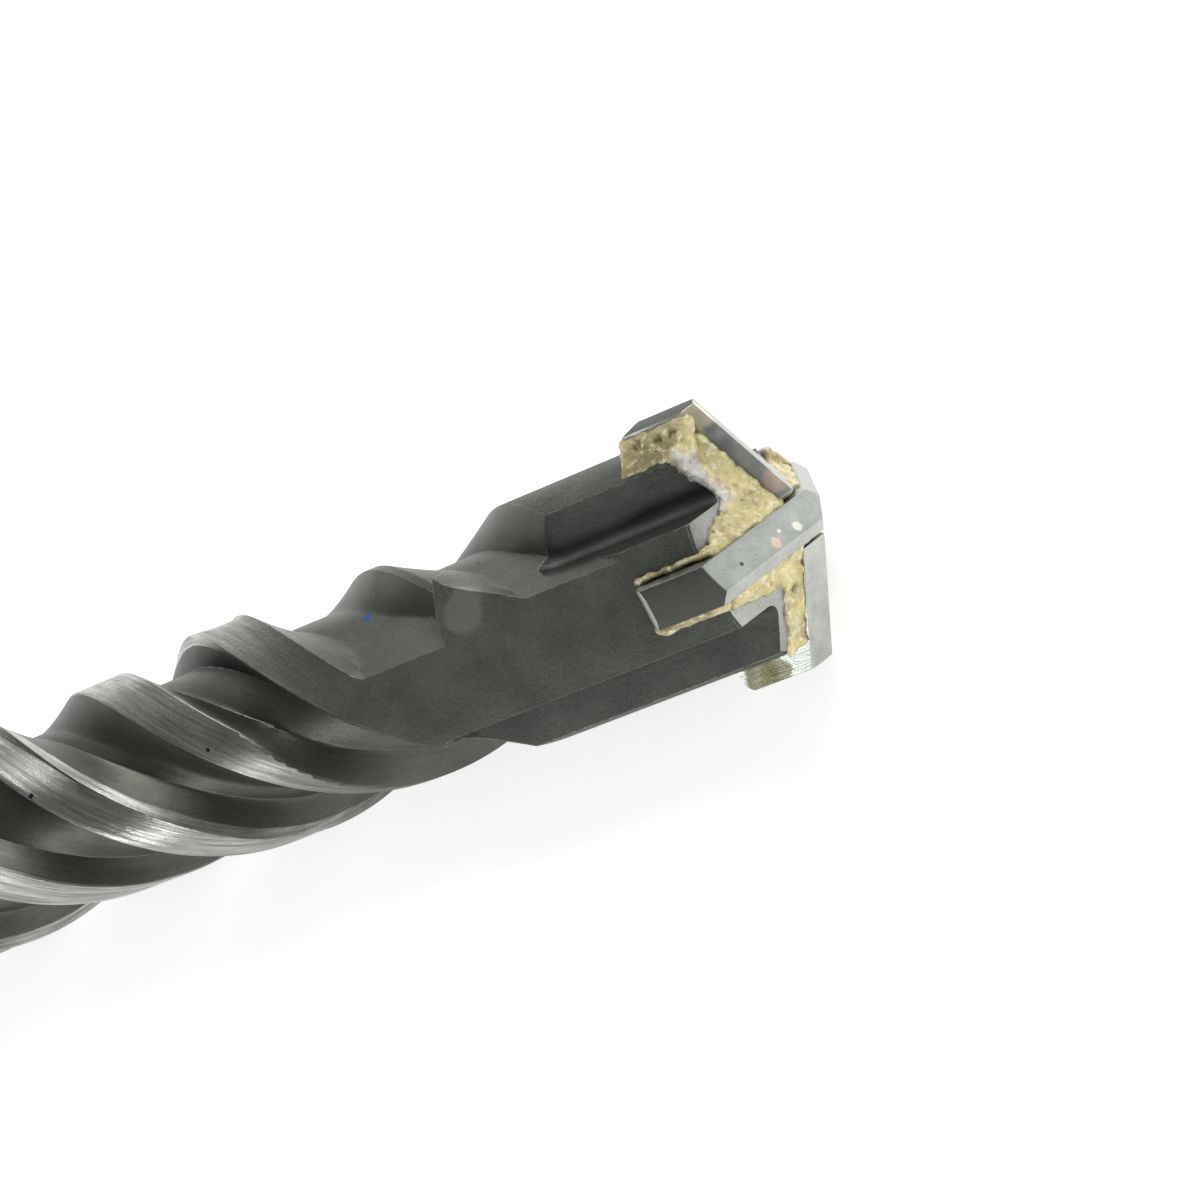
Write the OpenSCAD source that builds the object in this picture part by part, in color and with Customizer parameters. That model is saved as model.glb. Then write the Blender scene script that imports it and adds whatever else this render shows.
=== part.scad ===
// Masonry hammer drill bit with a four-wing carbide head, lying on its side.
// The bit's axis runs along X with the tip at +X, and the floor is z = 0.
// Wings are named by where they point when the head is seen from the tip.

/* [Overall] */
// Length from the butt of the shank to the point
overall_len = 210; // [180:1:260]
// Length of the shank that enters the machine
shank_len = 60; // [56:1:70]
// Length of the round neck between the shank cone and the flutes
neck_len = 9; // [5:0.5:16]

/* [Steel body] */
// Diameter over the two main lands
land_d = 16.8; // [15.6:0.1:17.6]
// Diameter of the core at the bottom of the flutes
core_d = 11.8; // [10:0.1:13]
// Diameter over the two lower lands
low_land_d = 15.6; // [14:0.1:16]
// Advance of a flute in one turn
flute_lead = 54.5; // [46:0.5:64]
// Diameter of the neck
neck_d = 15.4; // [14:0.1:16.2]
// Radius of the milling cutter's rise where the flutes end at the neck
runout_r = 30; // [15:1:60]

/* [Head] */
// Length of a straight rib, from the point back to its rear edge
rib_len = 21.8; // [19:0.1:25]
// Width of each of the four straight ribs
rib_w = 7.8; // [7:0.1:8.6]
// Radius at the root of the straight grooves between the ribs
groove_root_r = 1; // [0.5:0.1:1.6]
// Distance of the steel's front rim behind the point
front_rim = 6; // [5.6:0.1:7]
// Angle that the steel front falls away from a flat face
front_slope = 29; // [22:1:32]

/* [Carbide] */
// Diameter over the carbide wings, which is the hole that the bit drills
carbide_d = 20; // [18.6:0.1:21]
// Thickness of the carbide plates
plate_t = 3; // [2.4:0.1:3.4]
// Distance of the plates' back edge behind the point
plate_back = 10.8; // [9.5:0.1:12]
// Full point angle across the cutting edges
point_angle = 132; // [124:1:140]
// Clearance angle behind a cutting edge
clearance_angle = 23; // [15:1:28]
// Angle of the small face ahead of a cutting edge
rake_angle = 41; // [30:1:50]
// Distance of the cutting edge from the middle of its plate
edge_offset = 0.65; // [0.2:0.05:0.9]
// Drop of the two side plates below the main plate
side_drop = 0.4; // [0:0.1:0.8]
// Rounding of the plates' outer back corners
plate_corner_r = 1; // [0.4:0.1:1.6]

/* [Braze] */
// Thickness of the braze on each side of a plate
braze_side = 0.4; // [0.2:0.05:0.6]
// Thickness of the braze under a plate
braze_floor = 0.3; // [0.15:0.05:0.6]
// Height of the braze bead above the steel front
braze_bead = 0.5; // [0.2:0.1:0.8]

/* [Shank] */
// Diameter of the shank
shank_d = 10; // [9.6:0.05:10.4]
// Length of the cone between the shank and the neck
cone_len = 7; // [4:0.5:10]
// Chamfer at the butt of the shank
butt_chamfer = 1; // [0.4:0.1:1.6]
// Width of each open drive slot
drive_slot_w = 2.5; // [2:0.1:2.8]
// Depth of each open drive slot
drive_slot_depth = 1.6; // [1:0.1:1.8]
// Length of each open drive slot from the butt
drive_slot_len = 28; // [24:0.5:32]
// Width of each closed locking groove
lock_groove_w = 4.5; // [3.6:0.1:5]
// Depth of each closed locking groove
lock_groove_depth = 1.35; // [0.8:0.05:1.5]
// Distance from the butt to the near end of a locking groove
lock_groove_start = 10; // [8:0.5:12]
// Length of each closed locking groove
lock_groove_len = 19; // [14:0.5:20]

/* [Hidden] */

steel_colour = "dimgray";
carbide_colour = "silver";
braze_colour = "darkkhaki";

land_r = land_d / 2;
core_r = core_d / 2;
low_land_r = low_land_d / 2;
neck_r = neck_d / 2;
shank_r = shank_d / 2;
carbide_r = carbide_d / 2;
// Place where the slopes of the cutting edges meet, just ahead of the chisel edge
point_x = overall_len / 2 + edge_offset * tan(clearance_angle);
butt_x = -overall_len / 2;
cone_x = butt_x + shank_len;
neck_x = cone_x + cone_len;
flute_start_x = neck_x + neck_len;
// Roll of the wings about the axis, so that the bit lies between two wings
wing_roll = 45;
// Overlap that lets two joined solids share volume
weld = 0.3;
// Overshoot of a cutting solid past the surface that it cuts
clear = 2;
// Flat left at the rim of the steel front
rim_flat = 0.15;

// Section of the flutes, as angles from a main land's rear edge in one half turn
land_end = 30;
flute_a_floor = 48;
flute_a_rise = 77;
low_land_start = 104;
low_land_end = 110;
flute_b_floor = 135;
flute_b_wall = 153;
// Angle of a land's rear wall, far behind the head and near it, where it eases out
steep_wall = 4;
soft_wall = 24;
// Turn of each main land against the regular helix, near the head and far behind it
land_turn_near = [4, -1];
land_turn_far = [17, -1];
// Angle at which each flute leaves the core on a flat run-out, seen from the first side wing
flute_a_stop = 27;
flute_b_stop = 20.5;
// Rear edge of the head's thick part, behind the point
flute_a_end_x = -rib_len - 0.55 * land_r;
// Angle past which the flutes in front of the low land are closed by the head
closed_from = 15;
// How far the low land's front flank moves forward beside the head, and over which angles
forward_at_head = 20;
forward_angles = [42, 68];
// How far it moves forward behind the head, where the low land is broad, and over which distances
forward_behind = 24;
broad_change = [38, 46];
// Share of that move which the flank's foot makes
foot_share = 0.3;
// Distances behind the point over which the lands change, and over which their rear walls do
lands_change = [40, 54];
walls_change = [33, 44];

// Angular stations of one half turn, close together where the section bends
function between(a, b, n) = [for (i = [0:n - 1]) a + (b - a) * i / n];
HALF_TURN = concat(
    between(0, land_end, 4),
    between(land_end, flute_a_floor, 5),
    between(flute_a_floor, flute_a_rise, 3),
    between(flute_a_rise, low_land_start, 4),
    between(low_land_start, low_land_end, 2),
    between(low_land_end, flute_b_floor, 6),
    between(flute_b_floor, flute_b_wall, 5),
    between(flute_b_wall, 180, 5)
);
STATIONS = concat(HALF_TURN, [for (v = HALF_TURN) v + 180]);

// Angle past a flute's stop at which its flat run-out is well outside the body
flat_reach = 60;

// Turn of a main land's rear edge at x, which is nought at the rear of the first side wing's rib
function turn_of(x) = (x - point_x + rib_len) * 360 / flute_lead;
function x_of(turn) = point_x - rib_len + turn * flute_lead / 360;

// Rings along the axis, with a close pair at the square end of the closed flutes
ring_step = 1.75;
close_pair = 0.15;
head_front_x = point_x - front_rim;
plain_x = x_of(flute_b_stop + flat_reach);
square_end_x = point_x + flute_a_end_x;
function rings(a, b) = [for (i = [0:ceil((b - a) / ring_step)]) a + (b - a) * i / ceil((b - a) / ring_step)];
RING_X = concat(
    rings(flute_start_x, square_end_x - close_pair),
    rings(square_end_x + close_pair, plain_x),
    [head_front_x]
);
function ease(a, b, x) = let (t = max(0, min(1, (x - a) / (b - a)))) t * t * (3 - 2 * t);

// Turn of the outline against the regular helix at x and station s
function land_turn(x, s) =
    let (
        v = s % 180,
        half = floor(s / 180) % 2,
        far = ease(lands_change[0], lands_change[1], point_x - x),
        turns = land_turn_near * (1 - far) + land_turn_far * far
    )
    turns[half] * (1 - ease(flute_a_floor, flute_a_rise, v))
    + turns[1 - half] * ease(flute_b_floor, flute_b_wall, v);

// Radius of the section at angle v from a rear edge, before the ends of the flutes
function section_r(x, v, q, ahead) =
    let (
        top = ahead ? land_r : low_land_r,
        deep = land_r - core_r,
        forward = ahead ? forward_at_head * ease(forward_angles[0], forward_angles[1], q)
            : forward_behind * ease(broad_change[0], broad_change[1], point_x - x),
        top_end = low_land_end + forward,
        foot = flute_b_floor + foot_share * forward,
        wall = 180 - soft_wall + (soft_wall - steep_wall) * ease(walls_change[0], walls_change[1], point_x - x)
    )
    v < land_end ? land_r :
    v < flute_a_floor ? core_r + deep * pow((flute_a_floor - v) / (flute_a_floor - land_end), 1.4) :
    v < flute_a_rise ? core_r :
    v < low_land_start ? core_r + (top - core_r) * pow((v - flute_a_rise) / (low_land_start - flute_a_rise), 1.6) :
    v < top_end ? top :
    v < foot ? core_r + (top - core_r) * pow((foot - v) / (foot - top_end), 1.15) :
    core_r + deep * max(0, (v - wall) / (180 - wall));

// Radius of the flat on which a flute runs out past its stop angle
function flat_r(stop, q) = q < stop ? 0 : q >= stop + flat_reach ? 2 * land_r : core_r / cos(q - stop);

// Radius of the body on ring x at station s
function body_r(x, s) =
    let (
        v = s % 180,
        q = turn_of(x) + 180 - v - land_turn(x, s),
        ahead = x > square_end_x && q > closed_from,
        closed = ahead && v > land_end && v < low_land_start,
        stop = v < (low_land_start + low_land_end) / 2 ? flute_a_stop : flute_b_stop,
        d = max(0, flute_start_x + sqrt(pow(runout_r, 2) - pow(runout_r - land_r + core_r, 2)) - x),
        rise = runout_r - sqrt(max(0, pow(runout_r, 2) - d * d))
    )
    min(land_r, max(section_r(x, v, q, ahead), flat_r(stop, q), core_r + rise, closed ? land_r : 0));

// Point of ring x at station s
function body_point(x, s) =
    let (a = turn_of(min(x, plain_x)) - s - land_turn(x, s) + wing_roll, r = body_r(x, s))
    [x, r * cos(a), r * sin(a)];

// Fluted blank, with its surface as one closed skin
module fluted_blank() {
    n = len(STATIONS);
    m = len(RING_X);
    points = concat(
        [for (x = RING_X) for (s = STATIONS) body_point(x, s)],
        [[RING_X[0], 0, 0], [RING_X[m - 1], 0, 0]]
    );
    sides = [
        for (j = [0:m - 2]) for (i = [0:n - 1])
            let (k = (i + 1) % n, a = j * n + i, b = j * n + k, c = a + n, d = b + n)
            for (face = [[a, b, c], [b, d, c]]) face
    ];
    rear = [for (i = [0:n - 1]) [m * n, (i + 1) % n, i]];
    front = [for (i = [0:n - 1]) [m * n + 1, (m - 1) * n + i, (m - 1) * n + (i + 1) % n]];
    polyhedron(points, concat(sides, rear, front), convexity = 10);
}

// Lifts its children so that the main lands rest on the floor
module on_floor() {
    translate([0, 0, land_r]) children();
}

// Places its children with +Y along the first side wing and +Z along the first main wing
module in_wing_frame() {
    rotate([wing_roll, 0, 0]) children();
}

// Cone of the steel front, with a short plug that joins it to what lies behind
module front_cone(r) {
    translate([head_front_x, 0, 0])
        rotate([0, 90, 0])
            rotate_extrude($fn = 96)
                polygon([[0, -weld], [r, -weld], [r, 0], [0, r * tan(front_slope)]]);
}

// Round-rooted groove between two ribs, as wide as the ribs leave it
module straight_groove(length) {
    half = rib_w / 2;
    far = land_r + clear;
    translate([point_x - length, 0, 0])
        rotate([90, 0, 90])
            linear_extrude(length + clear)
                union() {
                    translate([half + groove_root_r, half]) square([far, far]);
                    translate([half, half + groove_root_r]) square([far, far]);
                    translate([half + groove_root_r, half + groove_root_r]) circle(r = groove_root_r, $fn = 32);
                }
}

// Shank, cone and neck as one turned shape
module turned_shank() {
    rotate([0, 90, 0])
        rotate_extrude($fn = 96)
            polygon([
                [0, butt_x], [shank_r - butt_chamfer, butt_x], [shank_r, butt_x + butt_chamfer],
                [shank_r, cone_x], [neck_r, neck_x], [neck_r, flute_start_x + weld], [0, flute_start_x + weld]
            ]);
}

// Open slot from the butt, with a round inner end, on the side at the given angle
module drive_slot(angle) {
    end_r = drive_slot_w / 2;
    straight = drive_slot_len - end_r;
    rotate([angle, 0, 0])
        translate([butt_x, 0, shank_r - drive_slot_depth])
            union() {
                translate([-clear, -end_r, 0]) cube([straight + clear, drive_slot_w, shank_r]);
                translate([straight, 0, 0]) cylinder(h = shank_r, r = end_r, $fn = 32);
            }
}

// Closed groove for a locking ball on the side at the given angle, with round ends and a round bottom
module lock_groove(angle) {
    ball_r = (pow(lock_groove_w / 2, 2) + pow(lock_groove_depth, 2)) / (2 * lock_groove_depth);
    half = lock_groove_len / 2 - lock_groove_w / 2 + ball_r;
    rotate([angle, 0, 0])
        translate([butt_x + lock_groove_start + lock_groove_len / 2, 0, shank_r - lock_groove_depth + ball_r])
            rotate([0, 90, 0])
                rotate_extrude($fn = 48)
                    intersection() {
                        translate([0, -half]) square([ball_r, 2 * half]);
                        union() {
                            translate([0, -half + ball_r]) square([ball_r, 2 * (half - ball_r)]);
                            translate([0, half - ball_r]) circle(r = ball_r, $fn = 48);
                            translate([0, ball_r - half]) circle(r = ball_r, $fn = 48);
                        }
                    }
}

// Space that the plates and their braze take up in the steel
module plate_slots() {
    half = plate_t / 2 + braze_side;
    floor_x = point_x - plate_back - braze_floor;
    far = carbide_r + clear;
    in_wing_frame() union() {
        translate([floor_x, -half, -far]) cube([plate_back + clear, 2 * half, 2 * far]);
        translate([floor_x, -far, -half]) cube([plate_back + clear, 2 * far, 2 * half]);
    }
}

module steel_body() {
    long_groove = rib_len + 1.15 * land_r;
    short_groove = rib_len - 0.55 * land_r;
    color(steel_colour) on_floor() difference() {
        union() {
            fluted_blank();
            front_cone(land_r - rim_flat);
            turned_shank();
        }
        for (side = [0, 180]) in_wing_frame() rotate([side, 0, 0]) {
            straight_groove(short_groove);
            rotate([90, 0, 0]) straight_groove(long_groove);
        }
        plate_slots();
        for (side = [0, 180]) {
            drive_slot(side);
            lock_groove(side + 90);
        }
    }
}

// Outline of a plate from its side, with round outer back corners
module plate_outline(inner, outer, height) {
    square_end = outer - plate_corner_r;
    union() {
        translate([inner, plate_corner_r]) square([outer - inner, height - plate_corner_r]);
        translate([inner, 0]) square([square_end - inner, height]);
        translate([square_end, plate_corner_r]) circle(r = plate_corner_r, $fn = 32);
    }
}

// Solid under the two ground faces of one cutting edge, which falls outward along +Z
module ground_roof(drop) {
    fall = 90 - point_angle / 2;
    wide = 2 * plate_t;
    deep = 3 * plate_back;
    translate([point_x - drop, 0, 0])
        rotate([0, -fall, 0])
            translate([0, 0, -2 * carbide_r])
                linear_extrude(4 * carbide_r)
                    polygon([
                        [-deep, wide], [-(wide + edge_offset) * tan(clearance_angle), wide], [0, -edge_offset],
                        [-(wide - edge_offset) * tan(rake_angle), -wide], [-deep, -wide]
                    ]);
}

// Plate body for one wing, from inner to outer along +Z
module plate_blank(inner) {
    height = plate_back + clear;
    intersection() {
        translate([point_x - plate_back, plate_t / 2, 0])
            rotate([90, 0, 0])
                linear_extrude(plate_t)
                    rotate(90) mirror([0, 1]) plate_outline(inner, carbide_r + clear, height);
        translate([point_x - plate_back - clear, 0, 0])
            rotate([0, 90, 0])
                cylinder(h = height + 2 * clear, r = carbide_r, $fn = 128);
    }
}

// The main plate, which runs right across the head, about the bit's axis
module main_plate() {
    in_wing_frame() intersection() {
        union() {
            plate_blank(-1);
            rotate([180, 0, 0]) plate_blank(-1);
        }
        ground_roof(0);
        rotate([180, 0, 0]) ground_roof(0);
    }
}

// One side plate about the bit's axis, whose inner end butts on the main plate's braze
module side_plate(turn) {
    in_wing_frame() rotate([turn, 0, 0]) intersection() {
        plate_blank(plate_t / 2 + braze_side);
        ground_roof(side_drop);
    }
}

module main_carbide_plate() {
    color(carbide_colour) on_floor() main_plate();
}

module side_carbide_plate_a() {
    color(carbide_colour) on_floor() side_plate(-90);
}

module side_carbide_plate_b() {
    color(carbide_colour) on_floor() side_plate(90);
}

// Braze that fills the slots round the plates and stands up as a bead at the front
module braze_filler() {
    bead_r = land_r - rim_flat;
    rear = -(plate_back - front_rim + braze_floor + clear);
    color(braze_colour) on_floor() difference() {
        intersection() {
            plate_slots();
            translate([head_front_x, 0, 0])
                rotate([0, 90, 0])
                    rotate_extrude($fn = 96)
                        polygon([
                            [0, rear], [bead_r, rear], [bead_r, braze_bead],
                            [0, braze_bead + bead_r * tan(front_slope)]
                        ]);
        }
        main_plate();
        side_plate(-90);
        side_plate(90);
    }
}

steel_body();
main_carbide_plate();
side_carbide_plate_a();
side_carbide_plate_b();
braze_filler();
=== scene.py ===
"""Masonry hammer drill bit with a brazed carbide head, built as an add-on and run as a script."""

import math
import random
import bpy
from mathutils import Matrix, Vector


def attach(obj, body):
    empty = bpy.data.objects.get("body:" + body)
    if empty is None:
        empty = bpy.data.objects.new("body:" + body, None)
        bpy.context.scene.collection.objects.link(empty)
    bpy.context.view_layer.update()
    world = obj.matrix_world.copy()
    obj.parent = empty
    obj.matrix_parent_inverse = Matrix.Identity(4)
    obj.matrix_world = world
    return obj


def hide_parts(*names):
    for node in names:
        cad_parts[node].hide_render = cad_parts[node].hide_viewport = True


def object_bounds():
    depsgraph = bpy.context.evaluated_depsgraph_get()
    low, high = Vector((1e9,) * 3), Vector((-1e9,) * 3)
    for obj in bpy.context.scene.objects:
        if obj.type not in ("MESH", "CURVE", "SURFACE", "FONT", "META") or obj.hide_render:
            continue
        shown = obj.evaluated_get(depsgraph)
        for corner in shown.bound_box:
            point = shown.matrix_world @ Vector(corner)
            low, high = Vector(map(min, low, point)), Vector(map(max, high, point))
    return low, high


bl_info = {
    "name": "Masonry Hammer Drill Bit",
    "version": (1, 0, 0),
    "blender": (4, 5, 0),
    "location": "3D View > Sidebar > Drill Bit",
    "description": "Builds a spiral-fluted drill bit with brazed carbide plates in a plain studio",
    "category": "Add Mesh",
}

from contextlib import contextmanager

import bmesh
import bpy
import numpy as np
from bpy.props import FloatProperty, FloatVectorProperty, PointerProperty
from bpy.types import Operator, Panel, PropertyGroup
from mathutils import Euler, Matrix, Vector, noise
from mathutils.bvhtree import BVHTree

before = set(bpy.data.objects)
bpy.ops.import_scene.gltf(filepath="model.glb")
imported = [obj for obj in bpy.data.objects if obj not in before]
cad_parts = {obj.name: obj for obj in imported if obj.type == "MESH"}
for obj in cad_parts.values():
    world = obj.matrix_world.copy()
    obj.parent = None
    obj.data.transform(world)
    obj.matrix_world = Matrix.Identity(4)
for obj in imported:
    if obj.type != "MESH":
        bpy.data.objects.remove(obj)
CAD_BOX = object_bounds()
BODY = "root"
MM = 0.001
# Shorter edges that a cut leaves are merged
SMALLEST_EDGE = 2e-6

# Material slots that every cutter shares with the steel body, by index
OUTER, FRONT, FLUTE, GROOVE = range(4)

# Section of the flutes, as angles from a main land's rear edge in one half turn
LAND_END = 30.0
FLUTE_A_FLOOR = 48.0
FLUTE_A_RISE = 77.0
LOW_LAND_START = 104.0
LOW_LAND_END = 110.0
FLUTE_B_FLOOR = 135.0
FLUTE_B_WALL = 153.0
# Angle that the wall behind a land takes up, far behind the head and near it
STEEP_WALL = 4.0
SOFT_WALL = 24.0
# How far closed flutes stand out past the body, and how much the worn lands fall away behind their edge
CLEAR = 0.2 * MM
WORN_EDGE = 0.25 * MM
WORN_FALL = 0.9 * MM
# Share of the front flank's move that its foot makes
FOOT_SHARE = 0.3
# Exponents of the hollow flanks behind a main land, up to the low land and down from it
FLANK_BEHIND = 1.4
FLANK_UP = 1.6
FLANK_DOWN = 1.15
# Where the first and last columns of a cutter lie, just outside the body
CUT_FIRST = 2.0
CUT_LAST = 181.4
# Angle at which each flute leaves the core on a flat run-out
FLUTE_A_STOP = 27.0
FLUTE_B_STOP = 20.5
# Angle past which the flutes in front of the low land are closed by the head
CLOSED_FROM = 15.0
# How far the low land's front flank moves forward beside the head, and the angles over which it does
LAND_FORWARD = 20.0
FORWARD_ANGLES = (42.0, 68.0)
# How far it moves forward behind the head, where the low land is broad
BROAD_FORWARD = 24.0
# Distances behind the point over which the low land broadens, over which the lands wear and turn, and over
# which their rear walls ease out towards the head
BROAD_CHANGE = (38 * MM, 46 * MM)
LANDS_CHANGE = (40 * MM, 54 * MM)
WALLS_CHANGE = (44 * MM, 33 * MM)
# Turn of each main land's rear edge against the regular helix, and its growth far behind the head
LAND_TURNS = ((4.0, 13.0), (-1.0, 0.0))
# Roll of the wings about the axis in degrees, so that the bit lies between two of them
WING_ROLL = 45
# Rear ends of the straight grooves ahead of the ribs' rear edges, by turns and as a share of the land radius
GROOVE_ENDS = (0.3, -1.15)
# Rise of a groove's root towards that end, as (distance from the end, rise) in millimetres
GROOVE_RISES = ((0, 1.1), (0.5, 0.45), (1.2, 0.12), (2.2, 0))
# Width of the plates' broken edges
BROKEN_EDGE = 0.09 * MM
# Rows of a cutter along the spiral body and along the head
BODY_ROWS = 190
HEAD_ROWS = 34

# Distances from the axis in millimetres at which the braze on the steel front has its widths
BRAZE_STATIONS = (2, 4.5, 6, 7.5, 8.3)
# Wings by their angle from the first side wing. Each has the widths of the braze beside the plate's leading
# and trailing side, in millimetres, and the share of the rib's side that the coat behind the front covers
BRAZE_COVER = {
    0: ((2.4, 2.4, 2.4, 2.4, 2.3), (1.2, 1.2, 1.1, 1.0, 0.9), 1.0),
    90: ((1.9, 1.5, 1.0, 0.7, 0.5), (2.4, 2.0, 1.1, 0.5, 0.3), 0.12),
    180: ((1.2, 1.2, 1.1, 1.0, 0.9), (1.9, 1.5, 1.3, 1.2, 1.1), 1.0),
    270: ((1.5, 1.3, 1.2, 1.1, 1.0), (1.2, 1.2, 1.1, 1.0, 0.9), 1.0),
}
# Pinholes in the braze as (pixel, pixel, radius in millimetres)
PINHOLES = (
    (635.7, 447.9, 0.5), (657.1, 441.6, 0.42), (671.4, 433.6, 0.42), (772, 584.5, 0.25), (795, 588, 0.3),
)
# Pits and a lighter patch in the steel as (pixel, pixel, radius in millimetres, colour), and smears on the
# carbide with their node before that
PIT = (0.02, 0.02, 0.02)
STEEL_MARKS = (
    (459, 575, 0.16, PIT), (478, 563, 0.14, PIT), (332, 716, 0.22, PIT), (462, 608, 2.1, (0.19, 0.2, 0.18)),
    (208, 750, 0.2, PIT), (31, 796, 0.25, PIT), (202, 669, 0.2, PIT),
)
CARBIDE_MARKS = (
    ("side_carbide_plate_a", 697, 414, 1.5, (1.0, 0.94, 0.68)),
    ("side_carbide_plate_a", 772, 483, 1.0, (0.85, 0.66, 0.56)),
    # These two dark olive marks are braze smears in the tone of braze in shade, so partly painted shade
    ("side_carbide_plate_b", 762, 676, 1.7, (0.09, 0.085, 0.045)),
    ("side_carbide_plate_b", 775, 672, 1.5, (0.1, 0.095, 0.05)),
    ("main_carbide_plate", 776.5, 543, 0.5, (0.8, 0.6, 0.5)),
    ("main_carbide_plate", 797.3, 526, 0.45, (0.85, 0.85, 0.78)),
    ("main_carbide_plate", 779, 531, 0.2, (0.8, 0.8, 0.76)),
    ("main_carbide_plate", 742, 564, 0.2, (0.03, 0.03, 0.03)),
)
PAINT_PIXEL = (367, 618)
# Colours of bright edges, partly worn bare metal and partly painted highlight
WORN_AND_HIGHLIGHT_STEEL = (0.5, 0.52, 0.48)
WORN_AND_HIGHLIGHT_CARBIDE = (0.85, 0.87, 0.84)
# Side of a voxel that the braze is cast from, and the waves of its skin as (height in millimetres, waves per
# millimetre)
VOXEL = 0.145 * MM
SKIN_WAVES = ((0.12, 0.9), (0.1, 2.2), (0.05, 5))
# Spacing of the drops on the steel front, along the ribs' sides and along the seam
DROP_STEP = 0.34 * MM
COAT_STEP = 0.36 * MM
SEAM_STEP = 0.22 * MM
# Height of the braze on the steel front: the share of the plate's side that it climbs, the distance over
# which that falls off, and its least height
BRAZE_CLIMB = 0.8
BRAZE_SPREAD = 0.75 * MM
BRAZE_THIN = 0.17 * MM
# Drop of the coat from the plate to the rib's edge, as a share of the wing
COAT_FALL = 0.22
# Side of the square photograph, in the pixels that these marks count
PHOTO_SIDE = 1200
# Width of the camera's sensor in millimetres
SENSOR = 36.0
# Strength of the world's light at the horizon and overhead
HORIZON = 0.95
OVERHEAD = 0.21


def length(name, text, default):
    """A length property in metres."""
    return FloatProperty(name=name, description=text, default=default, min=0.0, unit="LENGTH", precision=5)


def angle(name, text, degrees):
    """An angle property, given in degrees."""
    return FloatProperty(name=name, description=text, default=math.radians(degrees), subtype="ANGLE")


def colour(name, text, rgb):
    """A linear colour property."""
    return FloatVectorProperty(name=name, description=text, default=rgb, subtype="COLOR", min=0.0, max=1.0)


def power(name, text, default):
    """A lamp's power in watts."""
    return FloatProperty(name=name, description=text, default=default, min=0.0, max=100.0)


class DrillBitSizes(PropertyGroup):
    """Driving sizes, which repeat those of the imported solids."""

    overall_len: length("Overall length", "From the butt of the shank to the point", 210 * MM)
    shank_len: length("Shank length", "Part of the shank that enters the machine", 60 * MM)
    neck_len: length("Neck length", "Round neck between the shank cone and the flutes", 9 * MM)
    land_d: length("Land diameter", "Over the two main lands", 16.8 * MM)
    core_d: length("Core diameter", "At the bottom of the flutes", 11.8 * MM)
    low_land_d: length("Low land diameter", "Over the two lower lands", 15.6 * MM)
    flute_lead: length("Flute lead", "Advance of a flute in one turn", 54.5 * MM)
    neck_d: length("Neck diameter", "Diameter of the neck", 15.4 * MM)
    runout_r: length("Run-out radius", "Rise of the flutes at the neck", 30 * MM)
    rib_len: length("Rib length", "Straight rib from the point to its rear edge", 21.8 * MM)
    rib_w: length("Rib width", "Width of a straight rib", 7.8 * MM)
    groove_root_r: length("Groove root radius", "At the root of the straight grooves", 1 * MM)
    front_rim: length("Front rim", "Steel's front rim behind the point", 6 * MM)
    front_slope: angle("Front slope", "Fall of the steel front", 29)
    carbide_d: length("Carbide diameter", "Over the carbide wings", 20 * MM)
    plate_t: length("Plate thickness", "Thickness of the carbide plates", 3 * MM)
    plate_back: length("Plate back", "Plates' back edge behind the point", 10.8 * MM)
    point_angle: angle("Point angle", "Full angle across the cutting edges", 132)
    clearance_angle: angle("Clearance angle", "Behind a cutting edge", 23)
    rake_angle: angle("Rake angle", "Small face ahead of a cutting edge", 41)
    edge_offset: length("Edge offset", "Cutting edge from the middle of its plate", 0.65 * MM)
    side_drop: length("Side drop", "Side plates below the main plate", 0.4 * MM)
    plate_corner_r: length("Plate corner radius", "Outer back corners of the plates", 1 * MM)
    braze_side: length("Braze side", "Braze on each side of a plate", 0.4 * MM)
    braze_floor: length("Braze floor", "Braze under a plate", 0.3 * MM)
    shank_d: length("Shank diameter", "Diameter of the shank", 10 * MM)
    cone_len: length("Cone length", "Cone between the shank and the neck", 7 * MM)
    butt_chamfer: length("Butt chamfer", "Chamfer at the butt of the shank", 1 * MM)
    drive_slot_w: length("Drive slot width", "Width of each open slot", 2.5 * MM)
    drive_slot_depth: length("Drive slot depth", "Depth of each open slot", 1.6 * MM)
    drive_slot_len: length("Drive slot length", "Length of each open slot", 28 * MM)
    lock_groove_w: length("Locking groove width", "Width of each closed groove", 4.5 * MM)
    lock_groove_depth: length("Locking groove depth", "Depth of each closed groove", 1.35 * MM)
    lock_groove_start: length("Locking groove start", "From the butt to the groove", 10 * MM)
    lock_groove_len: length("Locking groove length", "Length of each closed groove", 19 * MM)


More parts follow.
